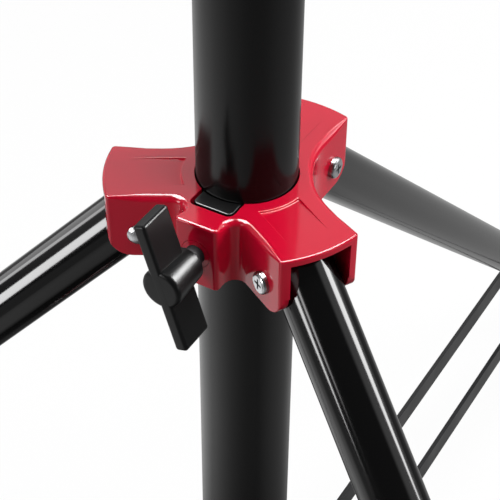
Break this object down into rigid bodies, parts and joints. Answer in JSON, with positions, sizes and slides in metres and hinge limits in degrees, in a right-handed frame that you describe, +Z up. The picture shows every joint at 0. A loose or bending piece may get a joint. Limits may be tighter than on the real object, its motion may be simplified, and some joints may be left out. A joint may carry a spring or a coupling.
{
  "type": "crank lighting stand",
  "caption": "Tripod lighting stand: telescopic mast raised by a hand winch, sliding clamp collar, hinged tube legs with flat braces, and a socket at the top.",
  "frame": {"origin": "on the floor, on the mast's axis, with the legs spread", "axes": "+Z up along the mast; the left leg points along -X and the clamp screw of the sliding collar points 240 degrees round from +X"},
  "size_m": [1.2604, 1.45, 1.8362],
  "materials": {
    "red_paint": "gloss",
    "black_paint": "semi-gloss",
    "black_plastic": "satin",
    "zinc": "bright zinc",
    "rubber": "matte",
    "alloy": "satin",
    "nylon": "satin",
    "steel": "satin"
  },
  "bodies": {
    "mast": {"outer_tube": "black_paint", "base_plug": "rubber", "lower_hub": "red_paint", "hub_fasteners": "zinc", "outer_sleeve": "red_paint", "outer_bush": "nylon", "sleeve_fasteners": "zinc", "winch_saddle": "alloy", "winch_frame": "black_paint", "winch_clamps": "zinc", "winch_pins": "zinc", "lift_cable": "steel", "lift_cable_inner": "steel"},
    "drum": {"drum": "alloy", "drum_gear": "steel", "cable_winding": "steel"},
    "crank": {"pinion_shaft": "steel", "ratchet_wheel": "steel", "crank_arm": "black_paint", "crank_fasteners": "zinc"},
    "grip": {"crank_grip": "black_plastic"},
    "pawl": {"pawl": "steel"},
    "pulley": {"lift_pulley": "nylon"},
    "outer_lock": {"outer_lock_knob": "black_plastic", "outer_lock_stud": "zinc"},
    "middle": {"mid_tube": "black_paint", "mid_guide": "nylon", "mid_sleeve": "red_paint", "mid_bush": "nylon"},
    "mid_lock": {"mid_lock_knob": "black_plastic", "mid_lock_stud": "zinc"},
    "top": {"top_tube": "black_paint", "top_guide": "nylon", "top_socket": "red_paint"},
    "socket_lock": {"socket_knob": "black_plastic", "socket_stud": "zinc"},
    "collar": {"collar": "red_paint", "knob_insert": "zinc", "leg_pivot_bolts": "zinc"},
    "shoe": {"clamp_shoe": "black_plastic"},
    "clamp": {"collar_knob": "black_plastic", "collar_stud": "zinc"},
    "leg_left": {"leg_tube_left": "black_paint", "leg_plug_left": "black_plastic", "leg_brace_pivot_left": "zinc", "foot_left": "rubber"},
    "brace_left": {"brace_left": "black_paint"},
    "leg_front": {"leg_tube_front": "black_paint", "leg_plug_front": "black_plastic", "leg_brace_pivot_front": "zinc", "foot_front": "rubber"},
    "brace_front": {"brace_front": "black_paint"},
    "leg_rear": {"leg_tube_rear": "black_paint", "leg_plug_rear": "black_plastic", "leg_brace_pivot_rear": "zinc", "foot_rear": "rubber"},
    "brace_rear": {"brace_rear": "black_paint"}
  },
  "joints": [
    {"name": "collar_slide", "type": "slide", "parent": "mast", "child": "collar", "axis": [0, 0, 1], "range_m": [0, 0.74253]},
    {"name": "leg_left_hinge", "type": "hinge", "parent": "collar", "child": "leg_left", "pos_m": [-0.052, 0, 0.69911], "axis": [0, -1, 0], "range_deg": [0, 48.35]},
    {"name": "leg_front_hinge", "type": "hinge", "parent": "collar", "child": "leg_front", "pos_m": [0.026, -0.04503, 0.69911], "axis": [0.866, 0.5, 0], "range_deg": [0, 48.35]},
    {"name": "leg_rear_hinge", "type": "hinge", "parent": "collar", "child": "leg_rear", "pos_m": [0.026, 0.04503, 0.69911], "axis": [-0.866, 0.5, 0], "range_deg": [0, 48.35]},
    {"name": "brace_left_hinge", "type": "hinge", "parent": "mast", "child": "brace_left", "pos_m": [-0.0375, 0, 0.28121], "axis": [0, 1, 0], "range_deg": [0, 90.5]},
    {"name": "brace_front_hinge", "type": "hinge", "parent": "mast", "child": "brace_front", "pos_m": [0.01875, -0.03248, 0.28121], "axis": [-0.866, -0.5, 0], "range_deg": [0, 90.5]},
    {"name": "brace_rear_hinge", "type": "hinge", "parent": "mast", "child": "brace_rear", "pos_m": [0.01875, 0.03248, 0.28121], "axis": [0.866, -0.5, 0], "range_deg": [0, 90.5]},
    {"name": "clamp_feed", "type": "slide", "parent": "collar", "child": "shoe", "axis": [-0.5, -0.866, 0], "range_m": [0, 0.00101]},
    {"name": "clamp_knob_turn", "type": "hinge", "parent": "shoe", "child": "clamp", "pos_m": [-0.03, -0.05196, 0.70411], "axis": [-0.5, -0.866, 0], "range_deg": [0, 240]},
    {"name": "crank_turn", "type": "hinge", "parent": "mast", "child": "crank", "pos_m": [-0.05034, -0.08719, 1.51274], "axis": [0.866, -0.5, 0], "range_deg": [0, 10800]},
    {"name": "drum_turn", "type": "hinge", "parent": "mast", "child": "drum", "pos_m": [-0.03587, -0.06214, 1.54721], "axis": [0.866, -0.5, 0], "range_deg": [-3601, 0]},
    {"name": "pulley_turn", "type": "hinge", "parent": "mast", "child": "pulley", "pos_m": [-0.019, -0.03291, 1.65351], "axis": [0.866, -0.5, 0], "range_deg": [0, 3764.64]},
    {"name": "mid_slide", "type": "slide", "parent": "mast", "child": "middle", "axis": [0, 0, 1], "range_m": [0, 1.08405], "deforming": ["lift_cable_inner"]},
    {"name": "top_slide", "type": "slide", "parent": "middle", "child": "top", "axis": [0, 0, 1], "range_m": [0, 1.1]},
    {"name": "grip_turn", "type": "hinge", "parent": "crank", "child": "grip", "pos_m": [-0.00617, -0.11269, 1.66274], "axis": [0.866, -0.5, 0], "continuous": true},
    {"name": "pawl_turn", "type": "hinge", "parent": "mast", "child": "pawl", "pos_m": [-0.07069, -0.07544, 1.54174], "axis": [0.866, -0.5, 0], "range_deg": [-20, 13], "stiffness_Nm_per_rad": 0.1},
    {"name": "outer_lock_turn", "type": "hinge", "parent": "mast", "child": "outer_lock", "pos_m": [-0.03, 0.05196, 1.62921], "axis": [-0.5, 0.866, 0], "range_deg": [0, 180]},
    {"name": "mid_lock_turn", "type": "hinge", "parent": "middle", "child": "mid_lock", "pos_m": [-0.03, 0.05196, 1.69221], "axis": [-0.5, 0.866, 0], "range_deg": [0, 180]},
    {"name": "socket_lock_turn", "type": "hinge", "parent": "top", "child": "socket_lock", "pos_m": [-0.03, 0.05196, 1.80871], "axis": [-0.5, 0.866, 0], "range_deg": [0, 180]}
  ],
  "couplings": [
    {"joint": "leg_left_hinge", "follows": "collar_slide", "rad_per_m": 1.1353},
    {"joint": "leg_front_hinge", "follows": "collar_slide", "rad_per_m": 1.1353},
    {"joint": "leg_rear_hinge", "follows": "collar_slide", "rad_per_m": 1.1353},
    {"joint": "brace_left_hinge", "follows": "collar_slide", "rad_per_m": 2.1261},
    {"joint": "brace_front_hinge", "follows": "collar_slide", "rad_per_m": 2.1261},
    {"joint": "brace_rear_hinge", "follows": "collar_slide", "rad_per_m": 2.1261},
    {"joint": "clamp_feed", "follows": "clamp_knob_turn", "m_per_rad": 0.00023873},
    {"joint": "drum_turn", "follows": "crank_turn", "ratio": -0.33333},
    {"joint": "mid_slide", "follows": "crank_turn", "m_per_rad": 0.00575},
    {"joint": "pulley_turn", "follows": "crank_turn", "ratio": 0.34848}
  ]
}
